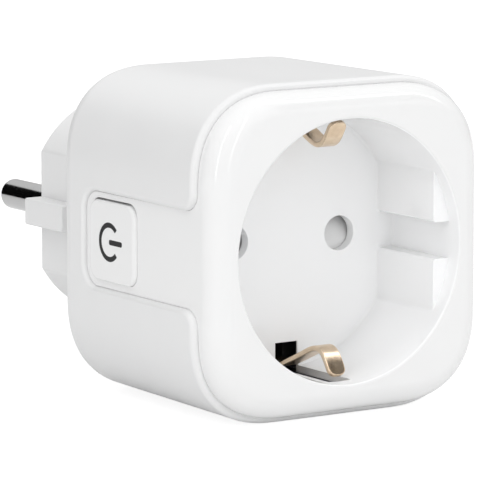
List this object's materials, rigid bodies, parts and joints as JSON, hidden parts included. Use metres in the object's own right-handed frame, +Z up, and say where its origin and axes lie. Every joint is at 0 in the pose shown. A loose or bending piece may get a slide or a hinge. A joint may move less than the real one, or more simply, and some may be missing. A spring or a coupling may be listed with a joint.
{
  "type": "plug in power meter",
  "caption": "Cube-shaped plug-in power meter with an earthed round socket well in front, a two-pin earthed plug behind and a push button with a power symbol on its side.",
  "frame": {"origin": "middle of the face the plug pins stand on", "axes": "+Y out of the back along the plug pins, +Z up, +X to the right seen from the socket side"},
  "size_m": [0.0496, 0.0824, 0.0496],
  "materials": {
    "gloss_white": "glossy moulded white",
    "satin_white": "satin moulded white",
    "nickel": "polished nickel plate",
    "bronze": "rolled spring bronze",
    "steel": "zinc plated",
    "copper": "bare metal",
    "smoke": "tinted window",
    "black": "moulded black",
    "board_green": "solder mask",
    "relay_blue": "moulded",
    "resistor_green": "cement",
    "led_white": "diffuse"
  },
  "bodies": {
    "housing": {"front_cover": "gloss_white", "socket_well": "satin_white", "rear_housing": "satin_white", "plug_insert": "satin_white", "plug_pin_left": "nickel", "plug_pin_right": "nickel", "plug_earth_yoke": "nickel", "earth_pin_tube": "bronze", "earth_strap": "bronze", "socket_contact_left": "bronze", "socket_contact_right": "bronze", "contact_carrier": "black", "shutter_spring": "steel", "fixing_screws": "steel", "switch_body": "black", "control_board": "board_green", "wifi_chip": "black", "wifi_shield": "steel", "status_led": "led_white", "main_board": "board_green", "relay": "relay_blue", "mains_capacitor": "black", "output_capacitor": "relay_blue", "varistor": "relay_blue", "fuse_resistor": "resistor_green", "choke": "black", "metering_chip": "black", "shunt": "copper"},
    "button": {"button_cap": "satin_white", "button_symbol": "smoke"},
    "plunger": {"switch_plunger": "black"},
    "shutter": {"shutter": "satin_white"},
    "earth_clip_top": {"earth_clip_top": "bronze"},
    "earth_clip_bottom": {"earth_clip_bottom": "bronze"}
  },
  "joints": [
    {"name": "button_press", "type": "slide", "parent": "housing", "child": "button", "axis": [1, 0, 0], "range_m": [0, 0.0004], "stiffness_N_per_m": 3000, "springref_m": -0.0002},
    {"name": "plunger_press", "type": "slide", "parent": "housing", "child": "plunger", "axis": [1, 0, 0], "range_m": [0, 0.0004]},
    {"name": "shutter_turn", "type": "hinge", "parent": "housing", "child": "shutter", "pos_m": [0, -0.0437, 0], "axis": [0, 1, 0], "range_deg": [0, 38], "stiffness_Nm_per_rad": 0.004, "springref_deg": -11.46, "deforming": ["shutter_spring"]},
    {"name": "earth_clip_top_flex", "type": "hinge", "parent": "housing", "child": "earth_clip_top", "pos_m": [0, -0.0328, 0.0189], "axis": [-1, 0, 0], "range_deg": [0, 3.2], "stiffness_Nm_per_rad": 2, "springref_deg": -1.15},
    {"name": "earth_clip_bottom_flex", "type": "hinge", "parent": "housing", "child": "earth_clip_bottom", "pos_m": [0, -0.0328, -0.0189], "axis": [1, 0, 0], "range_deg": [0, 3.2], "stiffness_Nm_per_rad": 2, "springref_deg": -1.15}
  ],
  "couplings": [
    {"joint": "plunger_press", "follows": "button_press", "ratio": 1}
  ]
}
